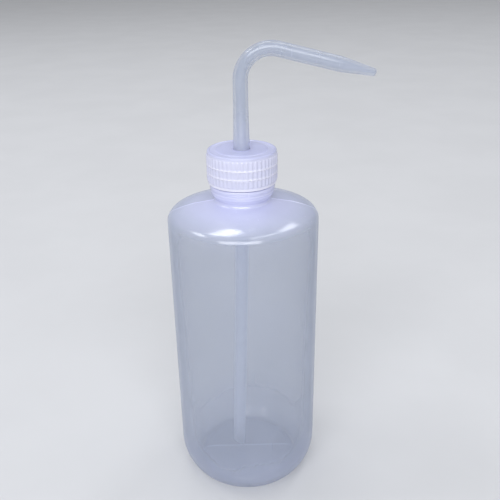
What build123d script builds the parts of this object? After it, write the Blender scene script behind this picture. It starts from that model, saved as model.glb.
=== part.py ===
from build123d import *
import os
from math import acos, cos, degrees, radians, sin, tan

# Polyethylene wash bottle: blown bottle, screw cap, inner plug, bent spout and dip tube.
# Millimetres, +Z up along the neck. The origin is the centre of the base, on the surface
# the bottle stands on, and the spout points towards +X.

# Bottle body
body_radius = 36.5
wall = 1.2
heel_radius = 22.3            # large arc between the side wall and the foot
heel_turn = 48.0              # how far that arc turns under before the foot begins
foot_radius = 2.2
foot_land = 1.5               # flat ring that the bottle stands on
foot_inner_turn = 60.0
base_recess = 2.8
shoulder_height = 145.3       # where the side wall ends
shoulder_radius = 5.2
shoulder_turn = 66.0
dome_radius = 60.3            # shallow dome between shoulder and neck

# Neck and threaded mouth
neck_radius = 13.3
neck_fillet = 1.2
flare_bottom = 156.8
flare_middle = (14.75, 159.1)
collar_radius = 15.4
collar_bottom = 161.3
collar_top = 163.7
mouth_radius = 13.5           # root of the outside thread
bore_radius = 11.8
rim_height = 177.1
edge_fillet = 0.5

# Screw thread shared by bottle and cap
pitch = 4.2
thread_turns = 1.5
thread_depth = 1.1
thread_root_width = 1.9
thread_crest_width = 1.0
thread_bite = 0.3             # how far a ridge is rooted in its wall
thread_start = 167.6          # height of the lower end of the bottle's ridge

# Screw cap
cap_radius = 16.25            # between the grip ribs
cap_bottom = 164.1
cap_height = 15.8
cap_plate = 1.5
cap_bore_radius = 14.8
cap_edge_fillet = 0.9
cap_lip_height = 1.6          # plain band below the ribs
cap_crown_height = 1.7        # plain band above the ribs
cap_hole_radius = 3.95
rib_count = 48
rib_height = 0.38
rib_radius = 0.55
ring_heights = (169.6, 173.7)
ring_width = 0.5
ring_rise = 0.5               # the two rings stand a little prouder than the ribs
panel_inner_radius = 12.0
panel_outer_radius = 15.0
panel_depth = 0.3
catch_radius = 13.9           # bead under the ceiling that keeps the plug in the cap
catch_height = 176.2
catch_half_width = 0.6

# Inner plug
plug_gap = 0.05               # clearance over and round the plug
seal_gap = 0.1                # clearance under its flange
flange_radius = 14.3
skirt_bottom = 171.0
skirt_wall = 1.0
skirt_lead_in = 0.4
hub_radius = 5.6
hub_bottom = 158.0
hub_lead_in = 0.5
ledge_top = 169.0
ledge_height = 1.0
ledge_radius = 2.2

# Spout
spout_radius = 3.4
stem_root_radius = 3.8
stem_taper_bottom = 180.2
stem_taper_top = 200.0
stem_top = 211.0
bend_radius = 13.6
bend_turn = 104.3
arm_length = 28.5
nozzle_length = 16.0
nozzle_tip_radius = 1.6
nozzle_edge_fillet = 0.9
spout_bore_radius = 2.1
outlet_radius = 0.6
outlet_length = 2.5

# Dip tube
tube_radius = 3.3
tube_bore_radius = 2.3
tube_socket_gap = 0.02
tube_end_gap = 0.05
tube_bend_start = 157.0
tube_bend_radius = 150.0
tube_lean = 1.9
tube_bottom = 6.2
tube_cut_angle = 30.0

radius_match = 0.01           # how close an edge's radius is to the one looked for

# Worked out from the values above
heel_centre = (
    body_radius - heel_radius,
    foot_radius + (heel_radius - foot_radius) * sin(radians(heel_turn)),
)
foot_centre = (
    heel_centre[0] + (heel_radius - foot_radius) * cos(radians(heel_turn)),
    foot_radius,
)
inner_foot_centre = (foot_centre[0] - foot_land, foot_radius)
recess_radius = (base_recess - foot_radius * (1 - cos(radians(foot_inner_turn)))) / (
    1 - cos(radians(foot_inner_turn))
)
recess_centre = (
    inner_foot_centre[0] - (foot_radius + recess_radius) * sin(radians(foot_inner_turn)),
    base_recess - recess_radius,
)
shoulder_centre = (body_radius - shoulder_radius, shoulder_height)
dome_centre = (
    shoulder_centre[0] - (dome_radius - shoulder_radius) * cos(radians(shoulder_turn)),
    shoulder_centre[1] - (dome_radius - shoulder_radius) * sin(radians(shoulder_turn)),
)
cap_top = cap_bottom + cap_height
ceiling = cap_top - cap_plate
flange_top = ceiling - plug_gap
flange_bottom = rim_height + seal_gap


def body_skin(inset, throat_radius):
    """Draw one surface of the body, from the axis under the base up to the throat."""
    dome = dome_radius - inset
    throat_angle = degrees(acos((throat_radius - dome_centre[0]) / dome))
    throat_height = dome_centre[1] + dome * sin(radians(throat_angle))
    floor = base_recess + inset
    Line((0, floor), (recess_centre[0], floor))
    CenterArc(recess_centre, recess_radius + inset, 90, -foot_inner_turn)
    CenterArc(inner_foot_centre, foot_radius - inset, 270 - foot_inner_turn, foot_inner_turn)
    Line((inner_foot_centre[0], inset), (foot_centre[0], inset))
    CenterArc(foot_centre, foot_radius - inset, 270, 90 - heel_turn)
    CenterArc(heel_centre, heel_radius - inset, -heel_turn, heel_turn)
    Line((body_radius - inset, heel_centre[1]), (body_radius - inset, shoulder_height))
    CenterArc(shoulder_centre, shoulder_radius - inset, 0, shoulder_turn)
    CenterArc(dome_centre, dome, shoulder_turn, throat_angle - shoulder_turn)
    return throat_radius, throat_height


def thread_ridge(wall_radius, start_height, outward):
    """Make one helical ridge; outward is 1 on the neck and -1 in the cap's bore."""
    with BuildPart() as ridge:
        with BuildLine() as path:
            Helix(
                pitch=pitch,
                height=pitch * thread_turns,
                radius=wall_radius,
                center=(0, 0, start_height),
            )
        section = Plane(
            origin=path.line @ 0, x_dir=(outward, 0, 0), z_dir=path.line % 0
        )
        with BuildSketch(section):
            with BuildLine():
                Polyline(
                    (-thread_bite, -thread_root_width / 2),
                    (0, -thread_root_width / 2),
                    (thread_depth, -thread_crest_width / 2),
                    (thread_depth, thread_crest_width / 2),
                    (0, thread_root_width / 2),
                    (-thread_bite, thread_root_width / 2),
                    close=True,
                )
            make_face()
        sweep(path=path.line, is_frenet=True)
    return ridge.part


def circles_of(piece, radius):
    """Pick a piece's circular edges of one radius."""
    circles = piece.edges().filter_by(GeomType.CIRCLE)
    return circles.filter_by(lambda edge: abs(edge.radius - radius) < radius_match)


neck_thread = thread_ridge(mouth_radius, thread_start, 1)
cap_thread = thread_ridge(cap_bore_radius, thread_start - pitch / 2, -1)

# Bottle: blown shell with a moulded, threaded mouth
with BuildPart() as bottle:
    with BuildSketch(Plane.XZ):
        with BuildLine():
            throat = body_skin(0, neck_radius)
            Line(throat, (neck_radius, flare_bottom))
            ThreePointArc(
                (neck_radius, flare_bottom), flare_middle, (collar_radius, collar_bottom)
            )
            Polyline(
                (collar_radius, collar_bottom),
                (collar_radius, collar_top),
                (mouth_radius, collar_top),
                (mouth_radius, rim_height),
                (0, rim_height),
                (0, base_recess),
            )
        make_face()
    revolve(axis=Axis.Z)
    with BuildSketch(Plane.XZ):
        with BuildLine():
            throat = body_skin(wall, bore_radius)
            Polyline(
                throat,
                (bore_radius, rim_height),
                (0, rim_height),
                (0, base_recess + wall),
            )
        make_face()
    revolve(axis=Axis.Z, mode=Mode.SUBTRACT)
    fillet(circles_of(bottle, neck_radius).sort_by(Axis.Z)[0], radius=neck_fillet)
    fillet(circles_of(bottle, collar_radius), radius=edge_fillet)
    fillet(bottle.edges().filter_by(GeomType.CIRCLE).group_by(Axis.Z)[-1], radius=edge_fillet)
    add(neck_thread)
bottle.part.label = "bottle"

# Screw cap: ribbed outside, threaded inside, open in the middle for the spout's stem
with BuildPart() as screw_cap:
    with BuildSketch(Plane.XY.offset(cap_bottom)):
        Circle(cap_radius)
    extrude(amount=cap_height)
    fillet(screw_cap.edges().group_by(Axis.Z)[-1], radius=cap_edge_fillet)
    fillet(screw_cap.edges().group_by(Axis.Z)[0], radius=edge_fillet)
    rib_bottom = cap_bottom + cap_lip_height
    rib_length = cap_height - cap_lip_height - cap_crown_height
    with BuildSketch(Plane.XY.offset(rib_bottom)):
        with PolarLocations(cap_radius + rib_height - rib_radius, rib_count):
            Circle(rib_radius)
    extrude(amount=rib_length)
    for ring_height in ring_heights:
        with BuildSketch(Plane.XY.offset(ring_height - ring_width / 2)):
            Circle(cap_radius + ring_rise)
        extrude(amount=ring_width)
    with BuildSketch(Plane.XY.offset(cap_top)):
        Circle(panel_outer_radius)
        Circle(panel_inner_radius, mode=Mode.SUBTRACT)
    extrude(amount=-panel_depth, mode=Mode.SUBTRACT)
    with BuildSketch(Plane.XY.offset(cap_bottom)):
        Circle(cap_bore_radius)
    extrude(amount=ceiling - cap_bottom, mode=Mode.SUBTRACT)
    with BuildSketch(Plane.XY.offset(ceiling)):
        Circle(cap_hole_radius)
    extrude(amount=cap_plate, mode=Mode.SUBTRACT)
    with BuildSketch(Plane.XZ):
        with BuildLine():
            Polyline(
                (cap_bore_radius + thread_bite, catch_height - catch_half_width),
                (cap_bore_radius, catch_height - catch_half_width),
                (catch_radius, catch_height),
                (cap_bore_radius, catch_height + catch_half_width),
                (cap_bore_radius + thread_bite, catch_height + catch_half_width),
                close=True,
            )
        make_face()
    revolve(axis=Axis.Z)
    add(cap_thread)
screw_cap.part.label = "screw_cap"

# Inner plug: flange on the rim, skirt in the mouth, hub with a socket at each end
with BuildPart() as inner_plug:
    with BuildSketch(Plane.XY.offset(flange_bottom)):
        Circle(flange_radius)
    extrude(amount=flange_top - flange_bottom)
    with BuildSketch(Plane.XY.offset(skirt_bottom)):
        Circle(bore_radius - plug_gap)
        Circle(bore_radius - plug_gap - skirt_wall, mode=Mode.SUBTRACT)
    extrude(amount=flange_bottom - skirt_bottom)
    skirt_edges = inner_plug.edges().group_by(Axis.Z)[0]
    chamfer(skirt_edges.sort_by(SortBy.RADIUS)[-1], length=skirt_lead_in)
    with BuildSketch(Plane.XY.offset(hub_bottom)):
        Circle(hub_radius)
    extrude(amount=flange_bottom - hub_bottom)
    chamfer(inner_plug.edges().group_by(Axis.Z)[0], length=hub_lead_in)
    with BuildSketch(Plane.XY.offset(ledge_top)):
        Circle(stem_root_radius + plug_gap)
    extrude(amount=flange_top - ledge_top, mode=Mode.SUBTRACT)
    with BuildSketch(Plane.XY.offset(ledge_top - ledge_height)):
        Circle(ledge_radius)
    extrude(amount=ledge_height, mode=Mode.SUBTRACT)
    with BuildSketch(Plane.XY.offset(hub_bottom)):
        Circle(tube_radius + tube_socket_gap)
    extrude(amount=ledge_top - ledge_height - hub_bottom, mode=Mode.SUBTRACT)
inner_plug.part.label = "inner_plug"

# Spout: tapered stem, bend of a little over a right angle, sloping arm and nozzle
spout_bottom = ledge_top + plug_gap
arm_fall = bend_turn - 90
arm_direction = Vector(cos(radians(arm_fall)), 0, -sin(radians(arm_fall)))
bend_centre = Vector(bend_radius, 0, stem_top)
arm_start = bend_centre + Vector(
    bend_radius * sin(radians(arm_fall)), 0, bend_radius * cos(radians(arm_fall))
)
nozzle_start = arm_start + arm_direction * arm_length
nozzle_end = nozzle_start + arm_direction * nozzle_length

with BuildPart() as spout:
    with BuildLine() as centre_line:
        Line((0, 0, stem_taper_top), (0, 0, stem_top))
        TangentArc((0, 0, stem_top), arm_start, tangent=(0, 0, 1))
        Line(arm_start, nozzle_start)
    with BuildSketch(Plane.XY.offset(stem_taper_top)):
        Circle(spout_radius)
    sweep(path=centre_line.line)
    with BuildSketch(Plane.XZ):
        with BuildLine():
            Polyline(
                (0, spout_bottom),
                (stem_root_radius, spout_bottom),
                (stem_root_radius, stem_taper_bottom),
                (spout_radius, stem_taper_top),
                (0, stem_taper_top),
                close=True,
            )
        make_face()
    revolve(axis=Axis.Z)
    with BuildSketch(Plane(origin=nozzle_start, x_dir=(0, 1, 0), z_dir=arm_direction)):
        Circle(spout_radius)
    with BuildSketch(Plane(origin=nozzle_end, x_dir=(0, 1, 0), z_dir=arm_direction)):
        Circle(nozzle_tip_radius)
    loft()
    fillet(spout.edges().sort_by(Axis.X)[-1], radius=nozzle_edge_fillet)
    with BuildSketch(Plane.XY.offset(spout_bottom)):
        Circle(spout_bore_radius)
    extrude(amount=stem_taper_top - spout_bottom, mode=Mode.SUBTRACT)
    with BuildSketch(Plane.XY.offset(stem_taper_top)):
        Circle(spout_bore_radius)
    sweep(path=centre_line.line, mode=Mode.SUBTRACT)
    outlet_start = nozzle_end - arm_direction * outlet_length
    with BuildSketch(Plane(origin=nozzle_start, x_dir=(0, 1, 0), z_dir=arm_direction)):
        Circle(spout_bore_radius)
    with BuildSketch(Plane(origin=outlet_start, x_dir=(0, 1, 0), z_dir=arm_direction)):
        Circle(outlet_radius)
    loft(mode=Mode.SUBTRACT)
    with BuildSketch(Plane(origin=outlet_start, x_dir=(0, 1, 0), z_dir=arm_direction)):
        Circle(outlet_radius)
    extrude(amount=outlet_length, mode=Mode.SUBTRACT)
spout.part.label = "spout"

# Dip tube: straight in the plug's socket, then leaning a little, cut off at a slant
tube_top = ledge_top - ledge_height - tube_end_gap
lean = radians(tube_lean)
lean_start = Vector(
    -tube_bend_radius * (1 - cos(lean)), 0, tube_bend_start - tube_bend_radius * sin(lean)
)
lean_direction = Vector(-sin(lean), 0, -cos(lean))
tube_end = lean_start + lean_direction * ((lean_start.Z - tube_bottom) / cos(lean))

with BuildPart() as dip_tube:
    with BuildLine() as tube_line:
        Line((0, 0, tube_top), (0, 0, tube_bend_start))
        TangentArc((0, 0, tube_bend_start), lean_start, tangent=(0, 0, -1))
        Line(lean_start, tube_end)
    with BuildSketch(Plane((0, 0, tube_top))):
        Circle(tube_radius)
        Circle(tube_bore_radius, mode=Mode.SUBTRACT)
    sweep(path=tube_line.line)
    cut_plane = Plane(
        origin=tube_end + Vector(0, 0, tube_radius * tan(radians(tube_cut_angle))),
        z_dir=(sin(radians(tube_cut_angle)), 0, cos(radians(tube_cut_angle))),
    )
    split(bisect_by=cut_plane, keep=Keep.TOP)
dip_tube.part.label = "dip_tube"

os.makedirs("parts", exist_ok=True)
for piece in (bottle, screw_cap, inner_plug, spout, dip_tube):
    export_step(piece.part, f"parts/{piece.part.label}.step")
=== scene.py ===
"""Looks of the polyethylene wash bottle: detailed meshes, materials, stage, light and camera.

The object's lengths are in millimetres until a mesh or the camera is made, which turns them into
metres. Floor and lights are in metres. Angles are in degrees until a function turns them.
"""

import math

import bmesh
import bpy
import numpy as np
from mathutils import Matrix, Vector


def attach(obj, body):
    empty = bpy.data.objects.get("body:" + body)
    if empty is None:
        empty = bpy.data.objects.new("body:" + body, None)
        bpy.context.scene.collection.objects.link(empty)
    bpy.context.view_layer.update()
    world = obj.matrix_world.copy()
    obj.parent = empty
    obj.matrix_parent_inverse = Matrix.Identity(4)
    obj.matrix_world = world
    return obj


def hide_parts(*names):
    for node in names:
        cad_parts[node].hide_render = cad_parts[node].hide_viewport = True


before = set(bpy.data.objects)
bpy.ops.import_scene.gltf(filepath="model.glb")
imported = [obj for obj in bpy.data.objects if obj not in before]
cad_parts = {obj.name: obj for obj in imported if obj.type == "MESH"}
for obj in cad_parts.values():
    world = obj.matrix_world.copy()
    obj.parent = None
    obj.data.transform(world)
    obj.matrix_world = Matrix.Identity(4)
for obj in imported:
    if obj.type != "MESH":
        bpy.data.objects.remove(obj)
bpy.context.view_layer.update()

MM = 0.001

# Bottle body, as in the CAD part
body_radius = 36.5
wall = 1.2
heel_radius = 22.3
heel_turn = 48.0
foot_radius = 2.2
foot_land = 1.5
foot_inner_turn = 60.0
base_recess = 2.8
shoulder_height = 145.3
shoulder_radius = 5.2
shoulder_turn = 66.0
dome_radius = 60.3

# Neck and mouth
neck_radius = 13.3
neck_fillet = 1.2
flare_bottom = 156.8
flare_middle = (14.75, 159.1)
collar_radius = 15.4
collar_bottom = 161.3
collar_top = 163.7
mouth_radius = 13.5
bore_radius = 11.8
rim_height = 177.1
edge_radius = 0.5

# Thread
pitch = 4.2
thread_turns = 1.5
thread_depth = 1.1
thread_root_width = 1.9
thread_crest_width = 1.0
thread_start = 167.6
thread_run_out = 0.07         # part of a turn in which a ridge rises at its ends

# Mould marks
seam_height = 0.1
seam_half_width = 0.3
pinch_height = 0.35
pinch_half_width = 0.7
pinch_reach = 18.0            # radius to which the pinch-off line runs at its full height
pinch_fade = 4.0              # and the radius over which it then dies out
foot_clearance = (0.15, 1.2)  # heights between which seam and pinch line rise from nothing
collar_step = 0.18
neck_ripple_height = 0.06
neck_ripple_pitch = 1.5
wall_waviness = 0.05
wave_terms = (                # lobes round the wall, twist per mm of height, phase, share
    (2, 0.021, 0.4, 0.6),
    (3, -0.034, 1.9, 0.4),
    (5, 0.012, 4.2, 0.2),
)
wave_bottom = 8.0             # the waviness comes in above this height
wave_rise = 20.0              # over this height
wave_fall = 12.0              # and dies out over this one below the shoulder
painted_shade_back_half = 0.75    # painted shade on the back half: how thick the wall behind the mould seam is drawn beside the one in front
painted_seam_highlight = 0.35         # painted highlight along the mould seam: how much thicker, from 0 to 1, the wall is drawn there
limb_share = 0.4              # part of the see-through share left where a wall is seen edge on

# Cap
cap_radius = 16.25
cap_bottom = 164.1
cap_height = 15.8
cap_plate = 1.5
cap_bore_radius = 14.8
cap_edge_radius = 0.9
cap_lip_height = 1.6
cap_crown_height = 1.7
cap_hole_radius = 3.95
rib_count = 48
rib_height = 0.38
rib_width = 1.15
rib_end = 0.35
ring_heights = (169.6, 173.7)
ring_width = 0.75
ring_rise = 0.5
panel_inner_radius = 12.0
panel_outer_radius = 15.0
panel_depth = 0.3
catch_radius = 13.9
catch_height = 176.2
catch_half_width = 0.6
catch_clearance = 1.0         # from the catch's middle down to the thread's wall

# Plug
plug_gap = 0.05
seal_gap = 0.1
plug_edge_radius = 0.25
socket_edge_radius = 0.3
flange_radius = 14.3
skirt_bottom = 171.0
skirt_wall = 1.0
skirt_lead_in = 0.4
hub_radius = 5.6
hub_bottom = 158.0
hub_lead_in = 0.5
ledge_top = 169.0
ledge_height = 1.0
ledge_radius = 2.2

# Spout
spout_radius = 3.4
stem_root_radius = 3.8
stem_taper_bottom = 180.2
stem_taper_top = 200.0
stem_top = 211.0
bend_radius = 13.6
bend_turn = 104.3
bend_flattening = 0.03
arm_length = 28.5
nozzle_length = 16.0
nozzle_tip_radius = 1.6
nozzle_edge_radius = 0.9
spout_bore_radius = 2.1
outlet_radius = 0.6
outlet_length = 2.5

# Dip tube
tube_radius = 3.3
tube_bore_radius = 2.3
tube_end_gap = 0.05
tube_bend_start = 157.0
tube_bend_radius = 150.0
tube_lean = 1.9
tube_bottom = 6.2
tube_cut_angle = 30.0

# Fineness of the meshes
bottle_segments = 240
cap_steps_per_rib = 8
plug_segments = 96
tube_segments = 48
arc_step = 6.0                # degrees of turn between two rows of an arc
flare_step = 2.0              # the same, on the neck's flare
bend_rings = 30
arm_shares = (0.2, 0.4, 0.6, 0.8)
tube_bend_rows = 5
tube_rows = 12
panel_rows = 7                # across one soft step in the cap's top
thread_step = 0.22            # length between two rows of a thread
grip_step = 0.18              # and between two rows of the cap's grip
catch_step = 0.2              # of the cap's catch
top_step = 1.5                # of the bottle's base and the cap's top
row_step = 2.0                # of the plug, the cap's ceiling and the spout's stem
bore_step = 3.0               # of the bottle's bore and the plug's hub
wall_step = 4.0               # of the bottle's side wall
seam_columns = (-1.6, -1.0, -0.66, -0.33, 0, 0.33, 0.66, 1.0, 1.6)   # in half widths of the seam
seam_clearance = 1.2          # from a seam to the next even column, in half steps
same_point = 1e-6
weld_distance = 1e-7          # in metres

# Textures of the plastic: scales in features per metre
cloud_scale = 30
cloud_thickness = 0.045
streak_scale = 420
streak_stretch = (1, 1, 0.035)
streak_thickness = 0.012
grain_scale = 2600
grain_height = 0.1
scratch_scale = 900
scratch_stretch = (1, 1, 0.02)
scratch_range = (0.68, 0.74)
scratch_patch_scale = 60
scratch_patch_range = (0.5, 0.62)
scratch_turns = ((70, 15, 0), (-50, 40, 10))
scratch_roughness = 0.2
noise_roughness = 0.55
relief_strength = 0.25
relief_depth = 0.01
middle = (0.3, 0.7)           # where most values of a noise lie
streak_middle = (0.3, 0.75)
wide_middle = (0.2, 0.8)
parting_blur = 0.4            # half the width over which the front wall and the painted shade of the back wall blend
seam_line = (0.15, 0.5)       # distances from the seam between which its painted highlight fades
limb_blend = 0.35
limb_start = 0.25
polyethylene_index = 1.51
clear_wall_index = 1.85

# Stage, in metres
floor_reach = 12.0
floor_shades = (0.59, 0.61)
floor_roughness = 0.85
mottle_scale = 9
tooth_scale = 1400
tooth_strength = 0.15
tooth_depth = 0.05            # in millimetres
lamp_tint = (0.93, 0.95, 1.0)
sky_colour = (0.93, 0.95, 1.0, 1)
sky_strength = 0.48
transparent_bounces = 24

# Camera
camera_place = (0, -295.594, 266.585)
camera_pitch_down = 25.135
camera_heading = 0.586
camera_roll = -1.017
camera_lens = 47.33
camera_sensor = 36
camera_clip = 0.01

cap_top = cap_bottom + cap_height
ceiling = cap_top - cap_plate
flange_top = ceiling - plug_gap
flange_bottom = rim_height + seal_gap
spout_bottom = ledge_top + plug_gap
tube_top = ledge_top - ledge_height - tube_end_gap


# ---------------------------------------------------------------- outlines

def arc(centre, radius, start, turn, step=arc_step):
    """Points of an arc, both ends included; angles in degrees, anticlockwise positive."""
    steps = max(2, math.ceil(abs(turn) / step))
    angles = np.radians(start + turn * np.linspace(0, 1, steps + 1))
    return [(centre[0] + radius * math.cos(a), centre[1] + radius * math.sin(a)) for a in angles]


def arc_through(first, middle, last):
    """Close points of the arc through three points."""
    (ax, ay), (bx, by), (cx, cy) = first, middle, last
    d = 2 * (ax * (by - cy) + bx * (cy - ay) + cx * (ay - by))
    a, b, c = ax * ax + ay * ay, bx * bx + by * by, cx * cx + cy * cy
    centre = (
        (a * (by - cy) + b * (cy - ay) + c * (ay - by)) / d,
        (a * (cx - bx) + b * (ax - cx) + c * (bx - ax)) / d,
    )
    start = math.degrees(math.atan2(ay - centre[1], ax - centre[0]))
    end = math.degrees(math.atan2(cy - centre[1], cx - centre[0]))
    turn = (end - start + 180) % 360 - 180
    return arc(centre, math.dist(first, centre), start, turn, flare_step)


def line(start, end, step=None):
    """Points of a straight run, both ends included, no further apart than step."""
    length = math.dist(start, end)
    count = max(1, math.ceil(length / step)) if step else 1
    return [tuple(np.array(start) + (np.array(end) - start) * i / count) for i in range(count + 1)]


def corner(before, at, after, radius):
    """The rounded corner of two straight runs that meet at a point."""
    before, at, after = (np.array(p, float) for p in (before, at, after))
    back = (before - at) / np.linalg.norm(before - at)
    on = (after - at) / np.linalg.norm(after - at)
    half = math.acos(float(np.clip(back @ on, -1, 1))) / 2
    reach = radius / math.tan(half)
    centre = at + (back + on) / np.linalg.norm(back + on) * radius / math.sin(half)
    first, last = at + back * reach - centre, at + on * reach - centre
    start = math.degrees(math.atan2(first[1], first[0]))
    end = math.degrees(math.atan2(last[1], last[0]))
    turn = (end - start + 180) % 360 - 180
    return arc(centre, radius, start, turn)


def joined(*runs):
    """One outline from several runs, without the points that two of them share."""
    points = []
    for run in runs:
        for point in run:
            if not points or math.dist(points[-1], point) > same_point:
                points.append(tuple(float(c) for c in point))
    return points


def body_skin(inset, throat_radius):
    """One surface of the bottle's body, from the axis under the base up to the throat."""
    heel = (
        body_radius - heel_radius,
        foot_radius + (heel_radius - foot_radius) * math.sin(math.radians(heel_turn)),
    )
    foot = (
        heel[0] + (heel_radius - foot_radius) * math.cos(math.radians(heel_turn)),
        foot_radius,
    )
    inner_foot = (foot[0] - foot_land, foot_radius)
    rise = 1 - math.cos(math.radians(foot_inner_turn))
    recess_radius = (base_recess - foot_radius * rise) / rise
    recess = (
        inner_foot[0] - (foot_radius + recess_radius) * math.sin(math.radians(foot_inner_turn)),
        base_recess - recess_radius,
    )
    shoulder = (body_radius - shoulder_radius, shoulder_height)
    dome = (
        shoulder[0] - (dome_radius - shoulder_radius) * math.cos(math.radians(shoulder_turn)),
        shoulder[1] - (dome_radius - shoulder_radius) * math.sin(math.radians(shoulder_turn)),
    )
    throat = math.degrees(math.acos((throat_radius - dome[0]) / (dome_radius - inset)))
    floor = base_recess + inset
    return joined(
        line((0, floor), (recess[0], floor), top_step),
        arc(recess, recess_radius + inset, 90, -foot_inner_turn),
        arc(inner_foot, foot_radius - inset, 270 - foot_inner_turn, foot_inner_turn),
        arc(foot, foot_radius - inset, 270, 90 - heel_turn),
        arc(heel, heel_radius - inset, -heel_turn, heel_turn),
        line((body_radius - inset, heel[1]), (body_radius - inset, shoulder_height), wall_step),
        arc(shoulder, shoulder_radius - inset, 0, shoulder_turn),
        arc(dome, dome_radius - inset, shoulder_turn, throat - shoulder_turn),
    )


def bottle_outline():
    """The bottle's outline in four named stretches, from the base's centre over the rim and back."""
    skin = body_skin(0, neck_radius)
    throat = skin[-1]
    neck_top = (neck_radius, flare_bottom)
    flare_top = (collar_radius - collar_step, collar_bottom)
    flare = arc_through(neck_top, flare_middle, flare_top)
    collar_foot = (collar_radius, collar_bottom + collar_step)
    skin = joined(
        skin[:-2],
        corner(skin[-2], throat, neck_top, neck_fillet),
        flare,
        [collar_foot],
        corner(collar_foot, (collar_radius, collar_top), (mouth_radius, collar_top), edge_radius),
        corner(
            (collar_radius, collar_top),
            (mouth_radius, collar_top),
            (mouth_radius, rim_height),
            edge_radius,
        ),
    )
    finish = line(
        (mouth_radius, collar_top + 2 * edge_radius),
        (mouth_radius, rim_height - 2 * edge_radius),
        thread_step,
    )
    rim = joined(
        corner(
            (mouth_radius, collar_top),
            (mouth_radius, rim_height),
            (bore_radius, rim_height),
            edge_radius,
        ),
        corner(
            (mouth_radius, rim_height),
            (bore_radius, rim_height),
            (bore_radius, collar_top),
            edge_radius,
        ),
        line((bore_radius, rim_height - edge_radius), (bore_radius, flare_bottom), bore_step),
    )
    inside = body_skin(wall, bore_radius)[::-1]
    return (("skin", skin), ("finish", finish), ("rim", rim), ("inside", inside))


def cap_outline():
    """The cap's closed outline in named stretches: up the grip, over the top, down the inside."""
    outer_foot, outer_head = (cap_radius, cap_bottom), (cap_radius, cap_top)
    inner_foot = (cap_bore_radius, cap_bottom)
    grip = joined(
        corner(inner_foot, outer_foot, outer_head, edge_radius),
        line(
            (cap_radius, cap_bottom + edge_radius),
            (cap_radius, cap_top - cap_edge_radius),
            grip_step,
        ),
        corner(outer_foot, outer_head, (0, cap_top), cap_edge_radius),
    )
    sunk = cap_top - panel_depth
    top = joined(
        step_in(panel_outer_radius, cap_top, sunk),
        step_in(panel_inner_radius, sunk, cap_top),
        line(
            (panel_inner_radius - panel_depth, cap_top),
            (cap_hole_radius + 2 * edge_radius, cap_top),
            top_step,
        ),
        corner(
            (panel_inner_radius, cap_top),
            (cap_hole_radius, cap_top),
            (cap_hole_radius, ceiling),
            edge_radius / 2,
        ),
        [(cap_hole_radius, ceiling)],
        line((cap_hole_radius + edge_radius, ceiling), (cap_bore_radius, ceiling), row_step),
    )
    catch_top = (cap_bore_radius, catch_height + catch_half_width)
    catch_middle = (catch_radius, catch_height)
    catch_bottom = (cap_bore_radius, catch_height - catch_half_width)
    catch = joined(
        line(catch_top, catch_middle, catch_step),
        line(catch_middle, catch_bottom, catch_step),
    )
    bore = line((cap_bore_radius, catch_height - catch_clearance), inner_foot, thread_step)
    return (("grip", grip), ("top", top), ("catch", catch), ("bore", bore))


def step_in(radius, before, after):
    """A soft step from one height to another, on the way in to the axis."""
    half = panel_depth
    shares = np.linspace(0, 1, panel_rows)
    return [
        (radius + half - 2 * half * share, before + (after - before) * climb)
        for share, climb in zip(shares, smooth(shares))
    ]


def plug_outline():
    """The plug's closed outline: down through the hub's sockets and back round the skirt."""
    stem_hole = stem_root_radius + plug_gap
    tube_hole = tube_radius + plug_gap / 2
    skirt_outer = bore_radius - plug_gap
    skirt_inner = skirt_outer - skirt_wall
    ledge_bottom = ledge_top - ledge_height
    flange_foot, flange_head = (flange_radius, flange_bottom), (flange_radius, flange_top)
    return joined(
        corner((0, flange_bottom), flange_foot, flange_head, plug_edge_radius),
        corner(flange_foot, flange_head, (0, flange_top), plug_edge_radius),
        line(
            (flange_radius - edge_radius, flange_top), (stem_hole + edge_radius, flange_top), row_step
        ),
        corner(flange_head, (stem_hole, flange_top), (stem_hole, ledge_top), socket_edge_radius),
        [(stem_hole, ledge_top), (ledge_radius, ledge_top)],
        [(ledge_radius, ledge_bottom), (tube_hole, ledge_bottom)],
        corner(
            (tube_hole, ledge_bottom),
            (tube_hole, hub_bottom),
            (hub_radius, hub_bottom),
            plug_edge_radius,
        ),
        [(hub_radius - hub_lead_in, hub_bottom), (hub_radius, hub_bottom + hub_lead_in)],
        line((hub_radius, hub_bottom + hub_lead_in), (hub_radius, flange_bottom), bore_step),
        line((hub_radius, flange_bottom), (skirt_inner, flange_bottom), row_step),
        line((skirt_inner, flange_bottom), (skirt_inner, skirt_bottom), row_step),
        [(skirt_outer - skirt_lead_in, skirt_bottom), (skirt_outer, skirt_bottom + skirt_lead_in)],
        line(
            (skirt_outer, skirt_bottom + skirt_lead_in), (skirt_outer, flange_bottom), row_step
        ),
    )


# ---------------------------------------------------------------- relief on the surfaces of revolution

def bump(distance, half_width):
    """1 at the middle of a soft ridge, falling to 0 at half_width."""
    share = np.clip(1 - (distance / half_width) ** 2, 0, 1)
    return share * share


def round_ridge(distance, half_width):
    """1 at the middle of a ridge with a half-round section, 0 at half_width and beyond."""
    return np.sqrt(np.clip(1 - (distance / half_width) ** 2, 0, 1))


def smooth(x):
    """Smooth step from 0 at x = 0 to 1 at x = 1."""
    x = np.clip(x, 0, 1)
    return x * x * (3 - 2 * x)


def thread_relief(theta, z, start):
    """Height of a right-handed helical ridge over its wall."""
    turn = theta / (2 * math.pi)
    climb = (z - start) / pitch - turn
    lap = np.clip(np.round(climb), 0, None)
    distance = np.abs(climb - lap) * pitch
    along = lap + turn
    flank = (thread_root_width - thread_crest_width) / 2
    ridge = smooth((thread_root_width / 2 - distance) / flank)
    ends = smooth(along / thread_run_out) * smooth((thread_turns - along) / thread_run_out)
    return thread_depth * ridge * ends


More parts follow.
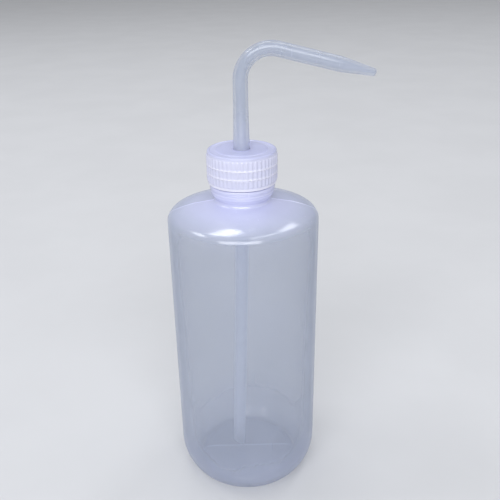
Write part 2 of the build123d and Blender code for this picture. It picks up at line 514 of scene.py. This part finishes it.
def bottle_relief(stretch, theta, r, z):
    """Seam, pinch-off line, neck ripples, thread and the slight waviness of a blown wall."""
    side = np.abs(r * np.sin(theta))
    on_wall = smooth((z - wave_bottom) / wave_rise) * smooth((shoulder_height - z) / wave_fall)
    waves = sum(
        np.sin(lobes * theta + twist * z + phase) * share for lobes, twist, phase, share in wave_terms
    )
    wave = wall_waviness * on_wall * waves
    if stretch == "finish":
        return thread_relief(theta, z, thread_start)
    if stretch == "skin":
        under = 1 - smooth((r - pinch_reach) / pinch_fade)
        pinch = pinch_height * bump(side, pinch_half_width) * under * (z < heel_radius)
        seam = seam_height * bump(side, seam_half_width)
        low, high = foot_clearance
        on_neck = smooth((z - flare_bottom) / neck_ripple_pitch) * (z < collar_bottom)
        ripple = neck_ripple_height * on_neck * np.cos(2 * math.pi * z / neck_ripple_pitch)
        return np.maximum(pinch, seam) * smooth((z - low) / (high - low)) + wave + ripple
    return -wave if stretch == "inside" else np.zeros_like(wave)


def cap_relief(stretch, theta, r, z):
    """Grip ribs and the two rings outside, the thread inside."""
    if stretch == "bore":
        return thread_relief(theta, z, thread_start - pitch / 2)
    if stretch != "grip":
        return np.zeros_like(theta + z)
    rib_pitch = 2 * math.pi * cap_radius / rib_count
    across = np.abs((theta * rib_count / (2 * math.pi) + 0.5) % 1 - 0.5) * rib_pitch
    low, high = cap_bottom + cap_lip_height, cap_top - cap_crown_height
    ends = smooth((z - low) / rib_end) * smooth((high - z) / rib_end)
    rib = round_ridge(across, rib_width / 2) * ends
    rings = sum(round_ridge(np.abs(z - height), ring_width / 2) for height in ring_heights)
    return np.maximum(rib_height * rib, ring_rise * rings)


# ---------------------------------------------------------------- meshes

def seam_angles(count):
    """Even angles, with closer ones across the mould seam at 0 and 180 degrees."""
    even = np.arange(count) * 2 * math.pi / count
    half_step = math.pi / count
    close = seam_half_width / body_radius * np.array(seam_columns)
    kept = [a for a in even if abs(math.sin(a)) > seam_clearance * half_step]
    return np.sort(np.concatenate([kept, close % (2 * math.pi), close + math.pi]))


def mesh_from_rings(name, rings, closed):
    """A closed mesh through rings of points, in millimetres; a ring on the axis becomes one point."""
    rows, count = rings.shape[:2]
    points = rings.reshape(-1, 3) * MM
    spans = rows if closed else rows - 1
    faces = []
    for row in range(spans):
        here, there = row * count, (row + 1) % rows * count
        for i in range(count):
            j = (i + 1) % count
            faces.append((here + i, here + j, there + j, there + i))
    mesh = bpy.data.meshes.new(name)
    mesh.from_pydata(points.tolist(), [], faces)
    piece = bpy.data.objects.new(name, mesh)
    bpy.context.scene.collection.objects.link(piece)
    work = bmesh.new()
    work.from_mesh(mesh)
    bmesh.ops.remove_doubles(work, verts=work.verts, dist=weld_distance)
    bmesh.ops.recalc_face_normals(work, faces=work.faces)
    work.to_mesh(mesh)
    work.free()
    for face in mesh.polygons:
        face.use_smooth = True
    return piece


def revolved(name, stretches, angles, relief=None, closed=False):
    """A piece turned round the Z axis from its outline, with relief along the outline's normals."""
    rows, names = [], []
    for stretch, points in stretches:
        for point in points:
            if not rows or math.dist(rows[-1], point) > same_point:
                rows.append(point)
                names.append(stretch)
    if closed and math.dist(rows[0], rows[-1]) < same_point:
        rows.pop()
        names.pop()
    outline = np.array(rows)
    ahead, behind = np.roll(outline, -1, 0), np.roll(outline, 1, 0)
    if not closed:
        ahead[-1], behind[0] = outline[-1], outline[0]
    along = ahead - behind
    along /= np.linalg.norm(along, axis=1)[:, None]
    normal = np.stack([along[:, 1], -along[:, 0]], 1)
    theta = angles[None, :]
    height = np.zeros((len(rows), len(angles)))
    if relief:
        for stretch in dict.fromkeys(names):
            picked = np.array([n == stretch for n in names])
            r, z = outline[picked, 0][:, None], outline[picked, 1][:, None]
            height[picked] = relief(stretch, theta, r, z) + np.zeros_like(theta + z)
    radius = np.maximum(outline[:, :1] + height * normal[:, :1], 0)
    level = outline[:, 1:] + height * normal[:, 1:]
    on_axis = outline[:, 0] < same_point
    radius[on_axis] = 0
    level[on_axis] = level[on_axis].mean(1, keepdims=True)
    rings = np.stack([radius * np.cos(theta), radius * np.sin(theta), level], 2)
    return mesh_from_rings(name, rings, closed)


# ---------------------------------------------------------------- tubes

def tube_ring(point, direction, radius, flat=0.0, slant=0.0):
    """One ring of a tube whose line lies in the XZ plane.

    flat is the share by which the ring is flattened in that plane, slant the slope of its own plane.
    """
    angles = np.arange(tube_segments) * 2 * math.pi / tube_segments
    side = np.array([0, 1.0, 0])
    up = np.cross(direction, side)
    height = radius * (1 - flat) * np.cos(angles)
    width = radius * (1 + flat / 2) * np.sin(angles)
    return np.array(point) + np.outer(height, up + slant * direction) + np.outer(width, side)


def spout_rings():
    """Rings of the spout, out along its skin to the tip and back through its bore."""
    up = np.array([0, 0, 1.0])
    bend = []
    for turn in np.radians(np.linspace(0, bend_turn, bend_rings + 1)):
        way = np.array([-math.cos(turn), 0, math.sin(turn)])
        flat = bend_flattening * math.sin(math.pi * turn / math.radians(bend_turn)) ** 2
        centre = (bend_radius, 0, stem_top) + bend_radius * way
        bend.append((centre, np.cross([0, 1.0, 0], way), flat))
    arm_start, ahead, _ = bend[-1]
    nozzle_start = arm_start + ahead * arm_length

    stem = corner(
        (0, spout_bottom),
        (stem_root_radius, spout_bottom),
        (stem_root_radius, stem_taper_bottom),
        socket_edge_radius,
    )
    stem += line((stem_root_radius, stem_taper_bottom), (spout_radius, stem_taper_top), row_step)
    rings = [tube_ring((0, 0, z), up, r) for r, z in stem]
    rings += [tube_ring(p, d, spout_radius, flat) for p, d, flat in bend]
    rings += [tube_ring(arm_start + ahead * arm_length * s, ahead, spout_radius) for s in arm_shares]
    nozzle = corner(
        (0, spout_radius), (nozzle_length, nozzle_tip_radius), (nozzle_length, 0), nozzle_edge_radius
    )
    rings += [tube_ring(nozzle_start + ahead * a, ahead, r) for a, r in [(0, spout_radius)] + nozzle]

    bore = ((nozzle_length, outlet_radius), (nozzle_length - outlet_length, outlet_radius))
    rings += [tube_ring(nozzle_start + ahead * a, ahead, r) for a, r in bore]
    rings += [tube_ring(nozzle_start, ahead, spout_bore_radius)]
    rings += [tube_ring(p, d, spout_bore_radius, flat) for p, d, flat in bend[::-1]]
    rings += [tube_ring((0, 0, spout_bottom), up, spout_bore_radius)]
    return np.array(rings)


def dip_tube_rings():
    """Rings of the dip tube, down along its skin to a slanted foot and back up its bore."""
    lean = math.radians(tube_lean)
    down = np.array([0, 0, -1.0])
    stations = [(np.array([0, 0, z]), down) for z in (tube_top, hub_bottom, tube_bend_start)]
    centre = np.array([-tube_bend_radius, 0, tube_bend_start])
    for turn in np.linspace(0, lean, tube_bend_rows)[1:]:
        out = np.array([math.cos(turn), 0, -math.sin(turn)])
        ahead = np.array([-math.sin(turn), 0, -math.cos(turn)])
        stations.append((centre + tube_bend_radius * out, ahead))
    bent, along = stations[-1]
    lowest = tube_bottom + tube_radius * math.tan(math.radians(tube_cut_angle))
    reach = (bent[2] - lowest) / math.cos(lean)
    stations += [(bent + along * reach * s, along) for s in np.linspace(0, 1, tube_rows)[1:]]
    slope = math.tan(math.radians(tube_cut_angle - tube_lean))
    rings = []
    for radius, run in ((tube_radius, stations), (tube_bore_radius, stations[::-1])):
        for point, direction in run:
            foot = point is stations[-1][0]
            rings.append(tube_ring(point, direction, radius, slant=slope if foot else 0.0))
    return np.array(rings)


# ---------------------------------------------------------------- materials

def add(tree, kind, inputs=None, **settings):
    """A shader node; an input is given by name or number, as a value or as a socket to link from."""
    node = tree.nodes.new("ShaderNode" + kind)
    for name, value in settings.items():
        setattr(node, name, value)
    for name, value in (inputs or {}).items():
        if isinstance(value, bpy.types.NodeSocket):
            tree.links.new(value, node.inputs[name])
        else:
            node.inputs[name].default_value = value
    return node


def noise(tree, place, scale, stretch=(1, 1, 1), detail=4.0, turn=(0, 0, 0)):
    """Noise from 0 to 1 with so many features per metre, stretched along the axes."""
    turned = [math.radians(angle) for angle in turn]
    mapping = add(tree, "Mapping", {"Vector": place, "Scale": stretch, "Rotation": turned})
    inputs = {
        "Vector": mapping.outputs[0],
        "Scale": scale,
        "Detail": detail,
        "Roughness": noise_roughness,
    }
    return add(tree, "TexNoise", inputs).outputs["Fac"]


def remap(tree, value, low, high, out_low=0.0, out_high=1.0):
    """A value moved from one range to another, held inside the new one."""
    inputs = {"Value": value, "From Min": low, "From Max": high, "To Min": out_low, "To Max": out_high}
    return add(tree, "MapRange", inputs, interpolation_type="SMOOTHSTEP").outputs[0]


def combine(tree, operation, first, second):
    """Two values added, multiplied or compared."""
    return add(tree, "Math", {0: first, 1: second}, operation=operation).outputs[0]


def blend(tree, share, first, second):
    """A colour between two colours."""
    node = add(tree, "Mix", data_type="RGBA")
    for socket, value in ((0, share), (6, first), (7, second)):
        if isinstance(value, bpy.types.NodeSocket):
            tree.links.new(value, node.inputs[socket])
        else:
            node.inputs[socket].default_value = value
    return node.outputs[2]


def scratches(tree, place, turn):
    """Sparse fine scratches that run one way, 0 on the clean surface and 1 in a scratch."""
    fine = noise(tree, place, scratch_scale, stretch=scratch_stretch, detail=2.0, turn=turn)
    patch = noise(tree, place, scratch_patch_scale, detail=2.0, turn=turn)
    strength = remap(tree, fine, *scratch_range)
    return combine(tree, "MULTIPLY", strength, remap(tree, patch, *scratch_patch_range))


def height_profile(tree, height, profile):
    """The thickness at a height, from a profile of (height in mm, thickness) rows, lowest first."""
    top = profile[-1][0]
    ramp = add(tree, "ValToRGB", {0: combine(tree, "DIVIDE", height, top * MM)})
    stops = ramp.color_ramp.elements
    for level, thick in profile[1:-1]:
        stops.new(level / top).color = (thick, thick, thick, 1)
    stops[0].color = (profile[0][1],) * 3 + (1,)
    stops[-1].color = (profile[-1][1],) * 3 + (1,)
    return ramp.outputs[0]


def thickness_with_painted_shade_and_seam_highlight(tree, across, thickness):
    """A thickness lowered behind the mould seam, as painted shade on the back half, and raised along
    the seam, as a painted highlight.
    """
    blur = parting_blur * MM
    half = remap(tree, across, -blur, blur, 1, painted_shade_back_half)
    thickness = combine(tree, "MULTIPLY", thickness, half)
    from_seam = add(tree, "Math", {0: across}, operation="ABSOLUTE").outputs[0]
    near, far = (distance * MM for distance in seam_line)
    return combine(tree, "ADD", thickness, remap(tree, from_seam, near, far, painted_seam_highlight, 0))


def polyethylene(
    name,
    thin,
    solid,
    roughness,
    index=polyethylene_index,
    wall_profile=(),
    parted=False,
    streak_height=0.9,
):
    """Milky polyethylene that lets some light straight through and scatters the rest.

    thin and solid describe a thin and a thick wall: "colour", "see_through", the share of light
    that passes straight through one surface, and "glow", the share of the rest that scatters on
    through the wall. wall_profile lists (height in mm, thickness from 0 to 1), lowest first.
    A parted piece has a mould seam in the XZ plane; the wall behind it is drawn thinner as painted
    shade, and a thicker line along the seam is a painted highlight. The gloss of a clear wall sits on
    its milky share alone, so there the index is higher than the real one.
    streak_height is the share of the upright flow streaks in the surface's fine relief.
    """
    material = bpy.data.materials.new(name)
    material.use_nodes = True
    tree = material.node_tree
    tree.nodes.clear()
    place = add(tree, "TexCoord").outputs["Object"]

    cloud = noise(tree, place, cloud_scale, detail=2.0)
    streak = noise(tree, place, streak_scale, stretch=streak_stretch, detail=3.0)
    grain = noise(tree, place, grain_scale, detail=2.0)
    scuffs = combine(tree, "MAXIMUM", *(scratches(tree, place, turn) for turn in scratch_turns))
    uneven = combine(
        tree,
        "ADD",
        remap(tree, cloud, *middle, 0, cloud_thickness),
        remap(tree, streak, *streak_middle, 0, streak_thickness),
    )

    thickness = uneven
    if wall_profile:
        axes = add(tree, "SeparateXYZ", {0: place}).outputs
        thickness = height_profile(tree, axes["Z"], wall_profile)
        if parted:
            # painted shade on the wall behind the mould seam and a painted highlight along the seam
            thickness = thickness_with_painted_shade_and_seam_highlight(tree, axes["Y"], thickness)
        thickness = combine(tree, "MINIMUM", combine(tree, "ADD", thickness, uneven), 1.0)

    def by_thickness(key):
        return add(tree, "Mix", {0: thickness, 2: thin[key], 3: solid[key]}).outputs[0]

    colour = blend(tree, thickness, thin["colour"], solid["colour"])
    gloss = combine(
        tree,
        "ADD",
        remap(tree, cloud, *middle, *roughness),
        remap(tree, scuffs, 0, 1, 0, scratch_roughness),
    )
    relief = combine(
        tree,
        "ADD",
        remap(tree, grain, *wide_middle, 0, grain_height),
        remap(tree, streak, *wide_middle, 0, streak_height),
    )
    relief = combine(tree, "SUBTRACT", relief, scuffs)
    depth = relief_depth * MM
    bump_inputs = {"Strength": relief_strength, "Distance": depth, "Height": relief}
    bumps = add(tree, "Bump", bump_inputs).outputs[0]

    skin_inputs = {
        "Base Color": colour,
        "Roughness": gloss,
        "Normal": bumps,
        "IOR": index,
        "Specular IOR Level": 1.0,
    }
    skin = add(tree, "BsdfPrincipled", skin_inputs).outputs[0]
    inside = add(tree, "BsdfTranslucent", {"Color": colour, "Normal": bumps}).outputs[0]
    plastic = add(tree, "MixShader", {0: by_thickness("glow"), 1: skin, 2: inside}).outputs[0]
    straight = add(tree, "BsdfTransparent").outputs[0]
    edge_on = add(tree, "LayerWeight", {"Blend": limb_blend}).outputs["Facing"]
    limb = remap(tree, edge_on, limb_start, 1, 1, limb_share)
    share = combine(tree, "MULTIPLY", by_thickness("see_through"), limb)
    surface = add(tree, "MixShader", {0: share, 1: plastic, 2: straight}).outputs[0]
    add(tree, "OutputMaterial", {"Surface": surface})
    return material


def floor_material():
    """Plain pale paper with a faint mottle and a fine tooth."""
    material = bpy.data.materials.new("pale_floor")
    material.use_nodes = True
    tree = material.node_tree
    tree.nodes.clear()
    place = add(tree, "TexCoord").outputs["Object"]
    mottle = noise(tree, place, mottle_scale, detail=4.0)
    tooth = noise(tree, place, tooth_scale, detail=3.0)
    dark, light = ((shade, shade, shade, 1) for shade in floor_shades)
    colour = blend(tree, remap(tree, mottle, *middle), dark, light)
    depth = tooth_depth * MM
    bump_inputs = {"Strength": tooth_strength, "Distance": depth, "Height": tooth}
    bumps = add(tree, "Bump", bump_inputs).outputs[0]
    paper_inputs = {"Base Color": colour, "Roughness": floor_roughness, "Normal": bumps}
    paper = add(tree, "BsdfPrincipled", paper_inputs)
    add(tree, "OutputMaterial", {"Surface": paper.outputs[0]})
    return material


# ---------------------------------------------------------------- pieces

def even_angles(count):
    """Angles once round, evenly spaced."""
    return np.arange(count) * 2 * math.pi / count


def place_piece(piece, node, body, slot, material):
    """Gives a piece its material, hides the CAD part of its node and hangs the piece on its body; slot
    is not used.
    """
    piece.data.materials.append(material)
    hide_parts(node)
    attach(piece, body)


bottle = revolved("blown_bottle", bottle_outline(), seam_angles(bottle_segments), bottle_relief)
cap_angles = even_angles(rib_count * cap_steps_per_rib)
cap = revolved("ribbed_cap", cap_outline(), cap_angles, cap_relief, closed=True)
plug = revolved("socket_plug", (("plug", plug_outline()),), even_angles(plug_segments), closed=True)
spout = mesh_from_rings("bent_spout", spout_rings(), closed=True)
dip_tube = mesh_from_rings("suction_tube", dip_tube_rings(), closed=True)

# Wall thicknesses, from 0 for thin to 1 for solid, by height; on the cap, the solid rings are a
# painted highlight
bottle_profile = (
    (0, 0.25),
    (10, 0.2),
    (30, 0.05),
    (139, 0),
    (147, 0.1),
    (150.5, 0.4),
    (153, 0.65),
    (158, 1),
    (rim_height, 1),
)
grip_thickness = 0.62
cap_thickness_with_ring_highlights = [
    (0, 1),
    (cap_bottom + cap_lip_height / 2, 1),
    (cap_bottom + cap_lip_height, grip_thickness),
]
# The rings are drawn solid, so whiter and less see-through: a painted highlight on each ring.
for height in ring_heights:
    cap_thickness_with_ring_highlights += [
        (height - ring_width, grip_thickness),
        (height, 1),
        (height + ring_width, grip_thickness),
    ]
cap_thickness_with_ring_highlights += [(178, 0.7), (179.2, 0.4), (cap_top, 0.2)]
spout_profile = ((0, 1), (176, 1), (181, 0.55), (stem_taper_top, 0.05), (228, 0))

bottle_plastic = polyethylene(
    "bottle_plastic",
    thin={"colour": (0.52, 0.57, 0.66, 1), "see_through": 0.71, "glow": 0.5},
    solid={"colour": (0.76, 0.77, 1.0, 1), "see_through": 0.06, "glow": 0.12},
    roughness=(0.11, 0.16),
    index=clear_wall_index,
    # paints shade on the back half and a highlight along the mould seam
    parted=True,
    wall_profile=bottle_profile,
)
cap_plastic = polyethylene(
    "cap_plastic",
    thin={"colour": (0.62, 0.65, 0.90, 1), "see_through": 0.26, "glow": 0.3},
    solid={"colour": (0.92, 0.91, 1.0, 1), "see_through": 0.05, "glow": 0.2},
    roughness=(0.12, 0.2),
    wall_profile=cap_thickness_with_ring_highlights,
)
plug_plastic = polyethylene(
    "plug_plastic",
    thin={"colour": (0.80, 0.81, 0.94, 1), "see_through": 0.1, "glow": 0.3},
    solid={"colour": (0.86, 0.86, 0.96, 1), "see_through": 0.05, "glow": 0.1},
    roughness=(0.2, 0.3),
)
spout_plastic = polyethylene(
    "spout_plastic",
    thin={"colour": (0.54, 0.59, 0.69, 1), "see_through": 0.62, "glow": 0.45},
    solid={"colour": (0.80, 0.82, 0.96, 1), "see_through": 0.2, "glow": 0.3},
    roughness=(0.18, 0.25),
    index=clear_wall_index,
    streak_height=0.0,
    wall_profile=spout_profile,
)
tube_plastic = polyethylene(
    "tube_plastic",
    thin={"colour": (0.86, 0.89, 0.96, 1), "see_through": 0.55, "glow": 0.5},
    solid={"colour": (0.90, 0.92, 0.98, 1), "see_through": 0.3, "glow": 0.3},
    roughness=(0.2, 0.3),
)

for row in (
    (bottle, "bottle", "bottle", "bottle_polyethylene", bottle_plastic),
    (cap, "screw_cap", "cap", "cap_polyethylene", cap_plastic),
    (plug, "inner_plug", "head", "plug_polyethylene", plug_plastic),
    (spout, "spout", "spout", "spout_polyethylene", spout_plastic),
    (dip_tube, "dip_tube", "head", "tube_polyethylene", tube_plastic),
):
    place_piece(*row)


# ---------------------------------------------------------------- stage, light and camera

def area_light(name, size, direction, distance, power, lengthwise=(0, 0, 1)):
    """A soft rectangular light, so far from the shoulder in a direction and facing it.

    size is its width and length in metres, lengthwise the direction that its length runs along.
    """
    data = bpy.data.lights.new(name, "AREA")
    data.shape = "RECTANGLE"
    data.size, data.size_y = size
    data.energy = power
    data.color = lamp_tint
    light = bpy.data.objects.new(name, data)
    bpy.context.scene.collection.objects.link(light)
    back = Vector(direction).normalized()
    side = Vector(lengthwise).cross(back).normalized()
    turned = Matrix((side, back.cross(side), back)).transposed().to_4x4()
    light.matrix_world = Matrix.Translation(shoulder + back * distance) @ turned


floor_mesh = bpy.data.meshes.new("floor")
corners = [
    (-floor_reach, -floor_reach, 0),
    (floor_reach, -floor_reach, 0),
    (floor_reach, floor_reach, 0),
    (-floor_reach, floor_reach, 0),
]
floor_mesh.from_pydata(corners, [], [(0, 1, 2, 3)])
floor = bpy.data.objects.new("floor", floor_mesh)
bpy.context.scene.collection.objects.link(floor)
floor_mesh.materials.append(floor_material())

shoulder = Vector((0, 0, shoulder_height * MM))
area_light("key", size=(1.1, 0.42), direction=(-0.143, 0.39, 0.91), distance=2.6, power=10)
area_light("front", size=(3.4, 1.6), direction=(-0.08, -0.78, 0.60), distance=3.2, power=92)
area_light(
    "strip",
    size=(0.3, 3.0),
    direction=(0.298, 0.212, 0.931),
    distance=2.8,
    power=13,
    lengthwise=(0.33, 0.89, -0.31),
)
area_light("window", size=(0.9, 0.5), direction=(-0.62, 0.12, 0.77), distance=2.4, power=9)

world = bpy.data.worlds.new("studio")
bpy.context.scene.world = world
world.use_nodes = True
background = world.node_tree.nodes["Background"]
background.inputs["Color"].default_value = sky_colour
background.inputs["Strength"].default_value = sky_strength

pitch_down, heading, roll = (
    math.radians(angle) for angle in (camera_pitch_down, camera_heading, camera_roll)
)
forward = Vector((
    math.sin(heading) * math.cos(pitch_down),
    math.cos(heading) * math.cos(pitch_down),
    -math.sin(pitch_down),
))
level = forward.cross(Vector((0, 0, 1))).normalized()
rise = level.cross(forward)
right = level * math.cos(roll) + rise * math.sin(roll)
up = rise * math.cos(roll) - level * math.sin(roll)
camera_data = bpy.data.cameras.new("camera")
camera_data.sensor_width = camera_sensor
camera_data.lens = camera_lens
camera_data.clip_start = camera_clip
camera = bpy.data.objects.new("camera", camera_data)
bpy.context.scene.collection.objects.link(camera)
axes = Matrix((right, up, -forward)).transposed().to_4x4()
camera.matrix_world = Matrix.Translation(Vector(camera_place) * MM) @ axes
bpy.context.scene.camera = camera
bpy.context.scene.view_settings.view_transform = "Standard"
bpy.context.scene.cycles.transparent_max_bounces = transparent_bounces
